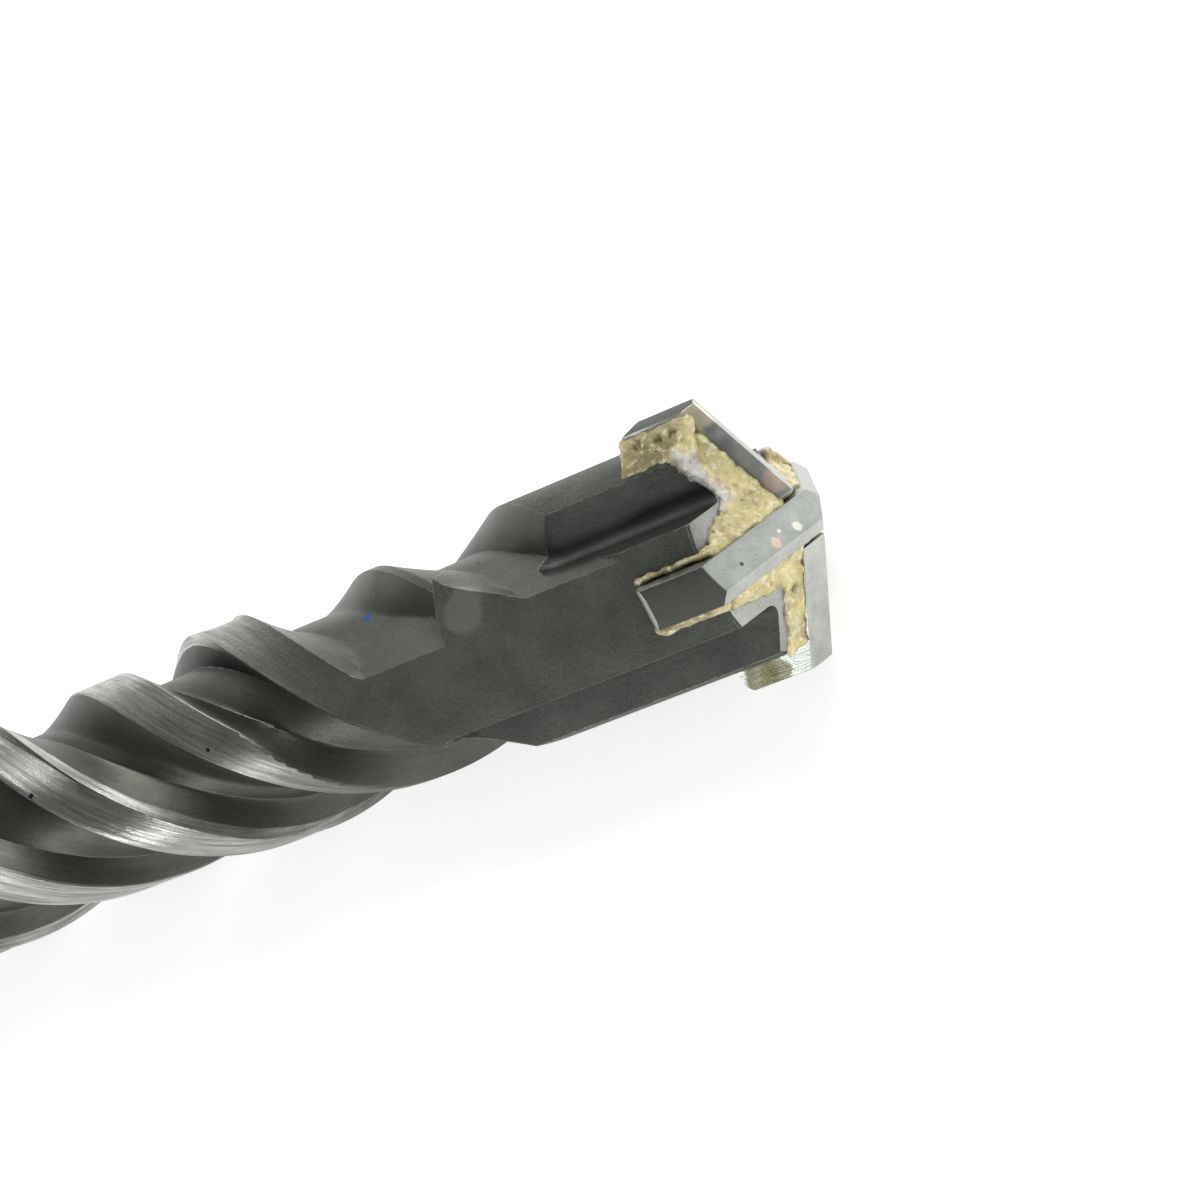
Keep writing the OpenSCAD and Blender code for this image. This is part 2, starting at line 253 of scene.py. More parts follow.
class DrillBitFinish(PropertyGroup):
    """Colours of the finishes."""

    steel: colour("Steel", "Blasted tool steel", (0.118, 0.125, 0.108))
    ground_steel: colour("Ground steel", "Lands ground bright behind the head", (0.47, 0.485, 0.445))
    flute_steel: colour("Flute steel", "Milled and blasted flutes", (0.112, 0.12, 0.102))
    groove_steel: colour("Groove steel", "Straight grooves of the head", (0.085, 0.088, 0.08))
    front_steel: colour("Front steel", "Bright steel front round the braze", (0.42, 0.43, 0.4))
    carbide: colour("Carbide", "Ground tungsten carbide", (0.44, 0.46, 0.43))
    carbide_side: colour("Carbide side", "Sintered skin of the plates' outer ends", (0.1, 0.104, 0.095))
    braze: colour("Braze", "Fresh braze", (0.92, 0.82, 0.44))
    # Painted shade: the braze's gold at about a third of its brightness, laid in patches over the braze
    # behind the steel front
    braze_painted_shade: colour("Olive braze", "Painted shade on the braze behind the front", (0.3, 0.27, 0.14))
    # Painted glint: pale patches laid over the braze stand in for glints of light
    braze_painted_glint: colour("Braze glints", "Painted glints on the braze", (1.0, 0.97, 0.74))
    braze_rim: colour("Braze rim", "Silvery rim of the braze on the steel", (0.72, 0.7, 0.66))
    braze_pink: colour("Pink braze", "Copper-rich braze near the steel", (0.66, 0.42, 0.33))
    paint: colour("Paint speck", "Stray speck of blue paint", (0.02, 0.09, 0.3))


class DrillBitStudio(PropertyGroup):
    """Camera and light."""

    lens: FloatProperty(name="Lens", description="Focal length", default=109.93, min=1.0, unit="CAMERA")
    place: FloatVectorProperty(
        name="Camera place", description="Where the camera stands", default=(0.20461, -0.11909, 0.19812),
        subtype="TRANSLATION", unit="LENGTH",
    )
    turn: FloatVectorProperty(
        name="Camera turn", description="How the camera is turned", subtype="EULER", unit="ROTATION",
        default=(math.radians(24.7716), math.radians(34.2679), math.radians(-5.9302)),
    )
    key: power("Key lamp", "Power of the large lamp behind the bit, in watts", 3.2)
    fill: power("Fill lamp", "Power of the small lamp in front, in watts", 0.5)


class Bit:
    """Places along the bit, from the driving sizes. The axis is the X axis until the bit is set down."""

    def __init__(self, s):
        self.s = s
        self.land_r = s.land_d / 2
        self.core_r = s.core_d / 2
        self.low_r = s.low_land_d / 2
        self.neck_r = s.neck_d / 2
        self.shank_r = s.shank_d / 2
        self.carbide_r = s.carbide_d / 2
        self.point_x = s.overall_len / 2 + s.edge_offset * math.tan(s.clearance_angle)
        self.butt_x = -s.overall_len / 2
        self.cone_x = self.butt_x + s.shank_len
        self.neck_x = self.cone_x + s.cone_len
        self.flute_x = self.neck_x + s.neck_len
        self.front_x = self.point_x - s.front_rim
        self.square_end_x = self.point_x - s.rib_len - 0.55 * self.land_r
        self.lift = Matrix.Translation((0, 0, self.land_r))
        # +Y along the first side wing and +Z along the first main wing, before the lift
        self.wings = Matrix.Rotation(math.radians(WING_ROLL), 4, "X")

    def turn_of(self, x):
        """Turn in degrees of a main land's rear edge at x."""
        return (x - self.point_x + self.s.rib_len) * 360 / self.s.flute_lead


def sizes():
    """The bit's sizes as set in the scene."""
    return Bit(bpy.context.scene.drill_bit_sizes)


def new_object(name, verts, faces, slots=()):
    """A mesh object in the scene from points and faces."""
    mesh = bpy.data.meshes.new(name)
    mesh.from_pydata([tuple(v) for v in verts], [], [tuple(f) for f in faces])
    for material in slots:
        mesh.materials.append(material)
    mesh.update()
    obj = bpy.data.objects.new(name, mesh)
    bpy.context.scene.collection.objects.link(obj)
    return obj


@contextmanager
def edited(obj):
    """Gives the object's mesh as a bmesh, and writes it back at the end."""
    bm = bmesh.new()
    bm.from_mesh(obj.data)
    yield bm
    bm.to_mesh(obj.data)
    bm.free()


def face_outward(obj):
    """Turns all faces of a closed mesh outward."""
    with edited(obj) as bm:
        bmesh.ops.recalc_face_normals(bm, faces=bm.faces)


def apply_modifiers(obj):
    """Bakes the object's modifiers into its mesh."""
    bpy.context.view_layer.update()
    evaluated = obj.evaluated_get(bpy.context.evaluated_depsgraph_get())
    mesh = bpy.data.meshes.new_from_object(evaluated)
    obj.modifiers.clear()
    old = obj.data
    obj.data = mesh
    bpy.data.meshes.remove(old)
    mesh.name = obj.name


def combine(obj, tool, operation):
    """Cuts, joins or intersects obj with tool, and deletes the tool."""
    modifier = obj.modifiers.new("combine", "BOOLEAN")
    modifier.operation = operation
    modifier.object = tool
    modifier.solver = "MANIFOLD"
    apply_modifiers(obj)
    bpy.data.objects.remove(tool)
    if not obj.data.polygons:
        raise RuntimeError(f"{obj.name} came out empty after a {operation.lower()}")


def finish_edges(obj, degrees):
    """Smooth shading that keeps edges sharper than the given angle."""
    with edited(obj) as bm:
        bmesh.ops.remove_doubles(bm, verts=bm.verts, dist=SMALLEST_EDGE)
        bmesh.ops.dissolve_degenerate(bm, edges=bm.edges, dist=SMALLEST_EDGE)
    obj.data.shade_smooth()
    obj.data.set_sharp_from_angle(angle=math.radians(degrees))


def spans(points, step):
    """Splits each span of a profile into steps no longer than step."""
    out = [points[0]]
    for a, b in zip(points, points[1:]):
        count = max(1, math.ceil(math.dist(a[:2], b[:2]) / step))
        for i in range(1, count + 1):
            out.append((a[0] + (b[0] - a[0]) * i / count, a[1] + (b[1] - a[1]) * i / count, b[2]))
    return out


def revolved(name, profile, segments, step, slots=()):
    """Turned solid about the X axis. The profile runs from the axis to the axis as (x, radius, slot)."""
    rings = spans(profile, step)
    verts = [(rings[0][0], 0, 0)]
    for x, r, _ in rings[1:-1]:
        for i in range(segments):
            a = 2 * math.pi * i / segments
            verts.append((x, r * math.cos(a), r * math.sin(a)))
    verts.append((rings[-1][0], 0, 0))
    last = len(verts) - 1
    faces = []
    marks = []
    for i in range(segments):
        k = (i + 1) % segments
        faces.append((0, 1 + k, 1 + i))
        marks.append(rings[1][2])
        for j in range(len(rings) - 3):
            a = 1 + j * segments
            b = a + segments
            faces.append((a + i, a + k, b + k, b + i))
            marks.append(rings[j + 2][2])
        a = 1 + (len(rings) - 3) * segments
        faces.append((a + i, a + k, last))
        marks.append(rings[-1][2])
    obj = new_object(name, verts, faces, slots)
    if slots:
        obj.data.polygons.foreach_set("material_index", marks)
    face_outward(obj)
    return obj


def lofted(name, outlines, slots=(), slot=0, matrix=None):
    """Closed solid through outlines that all have the same number of points."""
    n = len(outlines[0])
    last = (len(outlines) - 1) * n
    faces = [tuple(range(n)), tuple(range(last + n - 1, last - 1, -1))]
    for a in range(0, last, n):
        faces += [(a + i, a + n + i, a + n + (i + 1) % n, a + (i + 1) % n) for i in range(n)]
    obj = new_object(name, [point for outline in outlines for point in outline], faces, slots)
    if slots:
        obj.data.polygons.foreach_set("material_index", [slot] * len(faces))
    if matrix:
        obj.data.transform(matrix)
    face_outward(obj)
    return obj


def box(name, low, high, slots, slot, matrix):
    """Block between two corners."""
    corners = ((low[1], low[2]), (high[1], low[2]), (high[1], high[2]), (low[1], high[2]))
    return lofted(name, [[(x, y, z) for y, z in corners] for x in (low[0], high[0])], slots, slot, matrix)


def arc(centre, radius, start, end, count):
    """Points on a circle in a plane, angles in degrees."""
    out = []
    for i in range(count + 1):
        a = math.radians(start + (end - start) * i / count)
        out.append((centre[0] + radius * math.cos(a), centre[1] + radius * math.sin(a)))
    return out


def ease(a, b, x):
    """Smooth step from nought at a to one at b."""
    t = np.clip((x - a) / (b - a), 0, 1)
    return t * t * (3 - 2 * t)


def worn(bit, x):
    """Nought near the head and one far behind it, where the lands are worn."""
    return ease(*LANDS_CHANGE, bit.point_x - x)


def land_turn(bit, x, v, half):
    """Turn of the section's outline against the regular helix, which differs between the two main lands."""
    near, growth = LAND_TURNS[half // 180]
    far, far_growth = LAND_TURNS[1 - half // 180]
    start = near + growth * worn(bit, x)
    end = far + far_growth * worn(bit, x)
    return start * (1 - ease(FLUTE_A_FLOOR, FLUTE_A_RISE, v)) + end * ease(FLUTE_B_FLOOR, FLUTE_B_WALL, v)


def low_land_forward(bit, x, q, ahead):
    """Angle that the low land's front flank lies forward of its place on the regular section."""
    broad = BROAD_FORWARD * ease(*BROAD_CHANGE, bit.point_x - x)
    return np.where(ahead, LAND_FORWARD * ease(*FORWARD_ANGLES, q), broad)


def section_r(bit, x, v, q, ahead):
    """Radius of the fluted section at angle v from a rear edge, before the ends of the flutes."""
    core = bit.core_r
    deep = bit.land_r - core
    back = bit.point_x - x
    flank = core + deep * (np.clip(FLUTE_A_FLOOR - v, 0, 99) / (FLUTE_A_FLOOR - LAND_END)) ** FLANK_BEHIND
    slope = bit.land_r + WORN_EDGE - worn(bit, x) * (WORN_EDGE + WORN_FALL * (v - CUT_FIRST) / LAND_END)
    # The wall behind a land is steep far back and eases out towards the head
    wall = 180 - STEEP_WALL - (SOFT_WALL - STEEP_WALL) * ease(*WALLS_CHANGE, back)
    rise = np.clip((v - wall) / (180 - wall), 0, 1.5)
    top = np.where(ahead, bit.land_r + CLEAR, bit.low_r)
    # Beside the head the front flank of the low land moves forward round the bit
    forward = low_land_forward(bit, x, q, ahead)
    foot = FLUTE_B_FLOOR + FOOT_SHARE * forward
    climb = np.clip((v - FLUTE_A_RISE) / (LOW_LAND_START - FLUTE_A_RISE), 0, 1) ** FLANK_UP
    fall = np.clip((foot - v) / (foot - LOW_LAND_END - forward), 0, 1) ** FLANK_DOWN
    return np.maximum.reduce([
        np.where(v < LAND_END, np.minimum(flank, slope), flank), core + deep * rise,
        core + (top - core) * np.minimum(climb, fall),
    ])


def cutter_r(bit, x, v, turned, outer):
    """Radius of a flute's surface at x and section angle v, kept just under outer."""
    q = bit.turn_of(x) + 180 - turned
    stop = np.where(v < (LOW_LAND_START + LOW_LAND_END) / 2, FLUTE_A_STOP, FLUTE_B_STOP)
    past = np.clip(q - stop, 0, 80)
    flat = np.where(past > 0, bit.core_r / np.cos(np.radians(past)), 0)
    ahead = (x > bit.square_end_x) & (q > CLOSED_FROM)
    closed = ahead & (v > LAND_END) & (v < LOW_LAND_START)
    radius = bit.s.runout_r
    reach = math.sqrt(radius**2 - (radius - bit.land_r + bit.core_r) ** 2)
    d = np.clip(bit.flute_x + reach - x, 0, 0.99 * radius)
    rise = bit.core_r + radius - np.sqrt(radius**2 - d * d)
    shut = np.where(closed, bit.land_r + CLEAR, 0)
    r = np.maximum.reduce([section_r(bit, x, v, q, ahead), flat, rise, shut])
    return np.minimum(r, outer - 0.01 * MM)


def flute_cutter(bit, half, slots):
    """Solid that mills both flutes of one half turn, with the low land left standing between them."""
    outer = 1.12 * bit.land_r
    bends = [CUT_FIRST, LAND_END, FLUTE_A_FLOOR, FLUTE_A_RISE, LOW_LAND_START, LOW_LAND_END, FLUTE_B_FLOOR,
             FLUTE_B_WALL, CUT_LAST]
    counts = [14, 14, 10, 16, 4, 14, 8, 16]
    v = np.concatenate([np.linspace(a, b, n, endpoint=False) for a, b, n in zip(bends, bends[1:], counts)])
    v = np.append(v, CUT_LAST)
    start = bit.flute_x - 1.5 * MM
    end = bit.point_x - 11.5 * MM
    gap = 0.02 * MM
    rows = np.concatenate([
        np.linspace(start, bit.square_end_x - gap, BODY_ROWS),
        np.linspace(bit.square_end_x + gap, end, HEAD_ROWS),
    ])
    grid_x, grid_v = np.meshgrid(rows, v, indexing="ij")
    turned = grid_v + land_turn(bit, grid_x, grid_v, half)
    turn = np.radians(bit.turn_of(grid_x) - turned - half + WING_ROLL)
    low = cutter_r(bit, grid_x, grid_v, turned, outer)
    inner = np.stack([grid_x, low * np.cos(turn), low * np.sin(turn)], axis=-1)
    skin = np.stack([grid_x, outer * np.cos(turn), outer * np.sin(turn)], axis=-1)
    m, n = grid_x.shape
    verts = np.concatenate([inner.reshape(-1, 3), skin.reshape(-1, 3)])
    top = m * n
    faces = []
    for j in range(m - 1):
        for i in range(n - 1):
            a = j * n + i
            faces.append((a, a + 1, a + n + 1, a + n))
            faces.append((top + a, top + a + n, top + a + n + 1, top + a + 1))
        a = j * n
        b = j * n + n - 1
        faces.append((a, a + n, top + a + n, top + a))
        faces.append((b, top + b, top + b + n, b + n))
    for i in range(n - 1):
        b = (m - 1) * n + i
        faces.append((i, top + i, top + i + 1, i + 1))
        faces.append((b, b + 1, top + b + 1, top + b))
    obj = new_object("flute_cutter", verts, faces, slots)
    obj.data.polygons.foreach_set("material_index", [FLUTE] * len(faces))
    face_outward(obj)
    return obj


def groove_outline(bit):
    """Outline of a round-rooted straight groove in the quadrant between two ribs."""
    half = bit.s.rib_w / 2
    root = bit.s.groove_root_r
    far = bit.land_r + 2 * MM
    return [(half, far), *arc((half + root, half + root), root, 180, 270, 10), (far, half), (far, far)]


def straight_groove(bit, quarter, slots):
    """Groove in one quadrant, whose root rises softly out of the steel at its rear end."""
    end = bit.point_x - bit.s.rib_len + GROOVE_ENDS[quarter % 2] * bit.land_r
    stations = [(end + x * MM, rise * MM) for x, rise in GROOVE_RISES] + [(bit.point_x + 2 * MM, 0)]
    outlines = [[(x, y + rise, z + rise) for y, z in groove_outline(bit)] for x, rise in stations]
    matrix = bit.wings @ Matrix.Rotation(math.radians(90 * quarter), 4, "X")
    return lofted("groove", outlines, slots, GROOVE, matrix)


def lock_groove(bit, side, slots):
    """Closed groove for a locking ball, with round ends and a round bottom."""
    s = bit.s
    ball = ((s.lock_groove_w / 2) ** 2 + s.lock_groove_depth**2) / (2 * s.lock_groove_depth)
    half = s.lock_groove_len / 2 - s.lock_groove_w / 2
    profile = [(-half - ball, 0, FLUTE)]
    profile += [(x, r, FLUTE) for x, r in arc((-half, 0), ball, 174, 90, 14)]
    profile += [(x, r, FLUTE) for x, r in arc((half, 0), ball, 90, 6, 14)]
    profile.append((half + ball, 0, FLUTE))
    obj = revolved("lock_groove", profile, 48, 2 * MM, slots)
    middle = bit.butt_x + s.lock_groove_start + s.lock_groove_len / 2
    obj.data.transform(Matrix.Translation((middle, 0, bit.shank_r - s.lock_groove_depth + ball)))
    obj.data.transform(Matrix.Rotation(math.radians(side), 4, "X"))
    return obj


def drive_slot(bit, side, slots):
    """Open slot from the butt with a round inner end."""
    s = bit.s
    r = s.drive_slot_w / 2
    straight = bit.butt_x + s.drive_slot_len - r
    outline = [(bit.butt_x - MM, -r), *arc((straight, 0), r, -90, 90, 16), (bit.butt_x - MM, r)]
    heights = (bit.shank_r - s.drive_slot_depth, 2 * bit.shank_r)
    outlines = [[(x, y, z) for x, y in outline] for z in heights]
    return lofted("drive_slot", outlines, slots, FLUTE, Matrix.Rotation(math.radians(side), 4, "X"))


def steel_blank(bit, slots):
    """Turned blank of the whole steel body."""
    s = bit.s
    rim_r = bit.land_r - 0.15 * MM
    profile = [
        (bit.butt_x, 0, OUTER), (bit.butt_x, bit.shank_r - s.butt_chamfer, OUTER),
        (bit.butt_x + s.butt_chamfer, bit.shank_r, OUTER), (bit.cone_x, bit.shank_r, OUTER),
        (bit.neck_x, bit.neck_r, OUTER), (bit.flute_x, bit.neck_r, OUTER),
        (bit.flute_x + 0.25 * MM, bit.land_r, OUTER), (bit.front_x - 0.15 * MM, bit.land_r, OUTER),
        (bit.front_x, rim_r, OUTER), (bit.front_x + rim_r * math.tan(s.front_slope), 0, FRONT),
    ]
    return revolved("steel_body_finished", profile, 256, 1.1 * MM, slots)


def build_steel_body(bit, slots):
    """Steel body with all its cuts, set down on the floor."""
    s = bit.s
    body = steel_blank(bit, slots)
    for half in (0, 180):
        combine(body, flute_cutter(bit, half, slots), "DIFFERENCE")
    for quarter in range(4):
        combine(body, straight_groove(bit, quarter, slots), "DIFFERENCE")
    slot_half = s.plate_t / 2 + s.braze_side
    floor_x = bit.point_x - s.plate_back - s.braze_floor
    far = bit.carbide_r + MM
    for low, high in (((-slot_half, -far), (slot_half, far)), ((-far, -slot_half), (far, slot_half))):
        tool = box("slot", (floor_x, *low), (bit.point_x + MM, *high), slots, FRONT, bit.wings)
        combine(body, tool, "DIFFERENCE")
    for side in (0, 180):
        combine(body, drive_slot(bit, side, slots), "DIFFERENCE")
        combine(body, lock_groove(bit, side + 90, slots), "DIFFERENCE")
    body.data.transform(bit.lift)
    finish_edges(body, 24)
    return body


def plate_outline(bit, inner):
    """Side view of one wing of a plate as (x, radius), with a round outer back corner."""
    s = bit.s
    back = bit.point_x - s.plate_back
    outer = bit.carbide_r
    corner = s.plate_corner_r
    round_back = arc((back + corner, outer - corner), corner, 180, 90, 6)
    return [(back, inner), *round_back, (bit.point_x + MM, outer), (bit.point_x + MM, inner)]


def roof_planes(bit, drop):
    """The clearance plane and the rake plane of a wing along +Z, each as (point, outward normal)."""
    s = bit.s
    fall = math.tan(math.pi / 2 - s.point_angle / 2)
    ridge = Vector((bit.point_x - drop, -s.edge_offset, 0))
    along = Vector((-fall, 0, 1))
    behind = Vector((-math.tan(s.clearance_angle), 1, 0))
    ahead = Vector((-math.tan(s.rake_angle), -1, 0))
    return [(ridge, behind.cross(along).normalized()), (ridge, along.cross(ahead).normalized())]


def trim(obj, point, normal):
    """Cuts away what lies on the normal's side of a plane and closes the cut."""
    with edited(obj) as bm:
        geometry = bm.verts[:] + bm.edges[:] + bm.faces[:]
        cut = bmesh.ops.bisect_plane(bm, geom=geometry, plane_co=point, plane_no=normal, clear_outer=True)
        edges = [e for e in cut["geom_cut"] if isinstance(e, bmesh.types.BMEdge)]
        bmesh.ops.holes_fill(bm, edges=edges, sides=0)
        bmesh.ops.recalc_face_normals(bm, faces=bm.faces)


def wing_blank(bit, inner):
    """Plate for one wing along +Z, before grinding."""
    outline = plate_outline(bit, inner)
    half = bit.s.plate_t / 2
    return lofted("wing", [[(x, y, z) for x, z in outline] for y in (-half, half)])


def grind_round(bit, obj):
    """Grinds the outer ends of a plate to the drilled circle."""
    rear = bit.point_x - bit.s.plate_back - MM
    front = bit.point_x + 2 * MM
    ends = [(rear, 0, 0), (rear, bit.carbide_r, 0), (front, bit.carbide_r, 0), (front, 0, 0)]
    combine(obj, revolved("circle", ends, 256, 50 * MM), "INTERSECT")


def finish_plate(bit, obj, materials, matrix):
    """Breaks the plate's edges, splits its finishes and sets it in the head."""
    bevel = obj.modifiers.new("broken edges", "BEVEL")
    bevel.width = BROKEN_EDGE
    bevel.segments = 3
    bevel.limit_method = "ANGLE"
    bevel.angle_limit = math.radians(20)
    apply_modifiers(obj)
    obj.data.materials.clear()
    for material in materials:
        obj.data.materials.append(material)
    for face in obj.data.polygons:
        outward = math.hypot(face.normal.y, face.normal.z) > 0.98
        at_rim = math.hypot(face.center.y, face.center.z) > bit.carbide_r - 0.1 * MM
        face.material_index = 1 if outward and at_rim else 0
    obj.data.transform(bit.lift @ bit.wings @ matrix)
    finish_edges(obj, 12)


def build_main_plate(bit, materials):
    """Plate that runs right across the head."""
    plate = wing_blank(bit, -0.5 * MM)
    other = wing_blank(bit, -0.5 * MM)
    half_turn = Matrix.Rotation(math.pi, 4, "X")
    other.data.transform(half_turn)
    combine(plate, other, "UNION")
    for point, normal in roof_planes(bit, 0):
        trim(plate, point, normal)
        trim(plate, half_turn @ point, half_turn @ normal)
    grind_round(bit, plate)
    plate.name = "main_carbide_plate_finished"
    finish_plate(bit, plate, materials, Matrix.Identity(4))
    return plate


def build_side_plate(bit, name, quarter, materials):
    """One of the two short plates."""
    plate = wing_blank(bit, bit.s.plate_t / 2 + bit.s.braze_side)
    for point, normal in roof_planes(bit, bit.s.side_drop):
        trim(plate, point, normal)
    grind_round(bit, plate)
    plate.name = name + "_finished"
    finish_plate(bit, plate, materials, Matrix.Rotation(math.radians(quarter), 4, "X"))
    return plate


def seen_at(studio, obj, px, py):
    """Point of obj that the camera sees at a pixel of the photograph."""
    half = SENSOR / 2 / studio.lens
    middle = PHOTO_SIDE / 2
    ahead = Vector(((px / middle - 1) * half, (1 - py / middle) * half, -1))
    ray = Euler(studio.turn, "XYZ").to_matrix() @ ahead
    tree = BVHTree.FromObject(obj, bpy.context.evaluated_depsgraph_get())
    place = tree.ray_cast(Vector(studio.place), ray.normalized())[0]
    if place is None:
        raise RuntimeError(f"{obj.name} is not seen at pixel {px}, {py}")
    return place


def front_drops(bit, wing, side, widths, draw):
    """Drops along one side of a wing on the steel front, as (place in the wing's frame, radius)."""
    s = bit.s
    half = s.plate_t / 2
    drop = s.side_drop if wing in (0, 180) else 0
    if side > 0:
        ground = (half - s.edge_offset) * math.tan(s.rake_angle)
    else:
        ground = (half + s.edge_offset) * math.tan(s.clearance_angle)
    fall = math.tan(math.pi / 2 - s.point_angle / 2)
    drops = []
    for a in np.arange(1.7 * MM, 8.1 * MM, DROP_STEP):
        width = np.interp(a / MM, BRAZE_STATIONS, widths) * MM
        for b in np.arange(0, width, DROP_STEP):
            radius = draw.uniform(0.34, 0.52) * MM
            along = min(a + draw.uniform(-0.12, 0.12) * MM, bit.land_r - 0.45 * MM)
            away = half + b + draw.uniform(-0.1, 0.1) * MM
            steel = bit.front_x + (bit.land_r - math.hypot(along, away)) * math.tan(s.front_slope)
            plate = bit.point_x - drop - ground - fall * along
            fillet = BRAZE_CLIMB * max(plate - steel, 0.3 * MM) * math.exp(-b / BRAZE_SPREAD)
            x = steel + max(fillet, BRAZE_THIN) - radius + draw.uniform(-0.05, 0.08) * MM
            drops.append((Vector((x, along, side * away)), radius))
    return drops


def coat_drops(bit, reach, draw):
    """Drops that fill the corner between a plate's leading side and its rib, behind the steel front."""
    s = bit.s
    half = s.plate_t / 2
    edge = s.rib_w / 2 - 0.5 * MM
    drops = []
    for x in np.arange(bit.front_x + 0.6 * MM, bit.point_x - s.plate_back + 0.1 * MM, -COAT_STEP):
        for t in np.linspace(0, reach, max(2, round(9 * reach))):
            radius = draw.uniform(0.4, 0.46) * MM
            low = t * (bit.carbide_r - 0.55 * MM) * COAT_FALL
            along = bit.carbide_r - 0.3 * MM - low - radius + draw.uniform(-0.04, 0.04) * MM
            away = half + t * (edge - half) + draw.uniform(-0.04, 0.04) * MM
            drops.append((Vector((x + draw.uniform(-0.1, 0.1) * MM, along, away)), radius))
    return drops


def seam_drops(bit, draw):
    """Thin bead along the rear side of the first main wing's plate, on top of its rib."""
    s = bit.s
    drops = []
    for x in np.arange(bit.front_x + 0.3 * MM, bit.point_x - s.plate_back - 0.2 * MM, -SEAM_STEP):
        away = s.plate_t / 2 + 0.3 * MM - draw.uniform(-0.04, 0.04) * MM
        drops.append((Vector((x, away, bit.land_r - 0.14 * MM)), draw.uniform(0.24, 0.28) * MM))
    return drops


def round_drop():
    """Points and faces of a ball of radius one."""
    bm = bmesh.new()
    bmesh.ops.create_icosphere(bm, subdivisions=2, radius=1)
    verts = [vertex.co.copy() for vertex in bm.verts]
    faces = [tuple(vertex.index for vertex in face.verts) for face in bm.faces]
    bm.free()
    return verts, faces


def build_braze(bit, material, studio):
    """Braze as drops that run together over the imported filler, with a granular skin and pinholes."""
    draw = random.Random(7)
    ball_verts, ball_faces = round_drop()
    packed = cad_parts["braze_filler"].data
    verts = [vertex.co.copy() for vertex in packed.vertices]
    faces = [tuple(face.vertices) for face in packed.polygons]

    def add_drop(centre, radius):
        """Adds one ball to the heap of drops."""
        first = len(verts)
        verts.extend(centre + radius * point for point in ball_verts)
        faces.extend(tuple(first + i for i in face) for face in ball_faces)

    for place, radius in seam_drops(bit, draw):
        add_drop(bit.lift @ bit.wings @ place, radius)
    for wing, (leading, trailing, reach) in BRAZE_COVER.items():
        turned = bit.lift @ bit.wings @ Matrix.Rotation(math.radians(wing), 4, "X")
        drops = front_drops(bit, wing, 1, leading, draw) + front_drops(bit, wing, -1, trailing, draw)
        drops += coat_drops(bit, reach, draw)
        for place, radius in drops:
            add_drop(turned @ place, radius)
    braze = new_object("braze_filler_finished", verts, faces)
    cast = braze.modifiers.new("cast", "REMESH")
    cast.mode = "VOXEL"
    cast.voxel_size = VOXEL
    flow = braze.modifiers.new("flow", "SMOOTH")
    flow.factor = 0.5
    flow.iterations = 9
    apply_modifiers(braze)
    pinholes = [(seen_at(studio, braze, px, py), radius * MM) for px, py, radius in PINHOLES]
    low, high = CAD_BOX
    moved = []
    for vertex in braze.data.vertices:
        place = vertex.co
        spot = place / MM
        lift = sum(height * noise.noise(spot * rate) for height, rate in SKIN_WAVES)
        for centre, radius in pinholes:
            lift -= 0.9 * radius / MM * max(0, 1 - ((place - centre).length / radius) ** 2)
        moved.append(place + vertex.normal * lift * MM)
    moved = np.clip(np.array(moved), low, high)
    braze.data.vertices.foreach_set("co", moved.astype(np.float32).ravel())
    braze.data.update()
    braze.data.materials.append(material)
    braze.data.shade_smooth()
    return braze


def toned(rgb, factor):
    """A colour made lighter or darker."""
    return [factor * c for c in rgb]


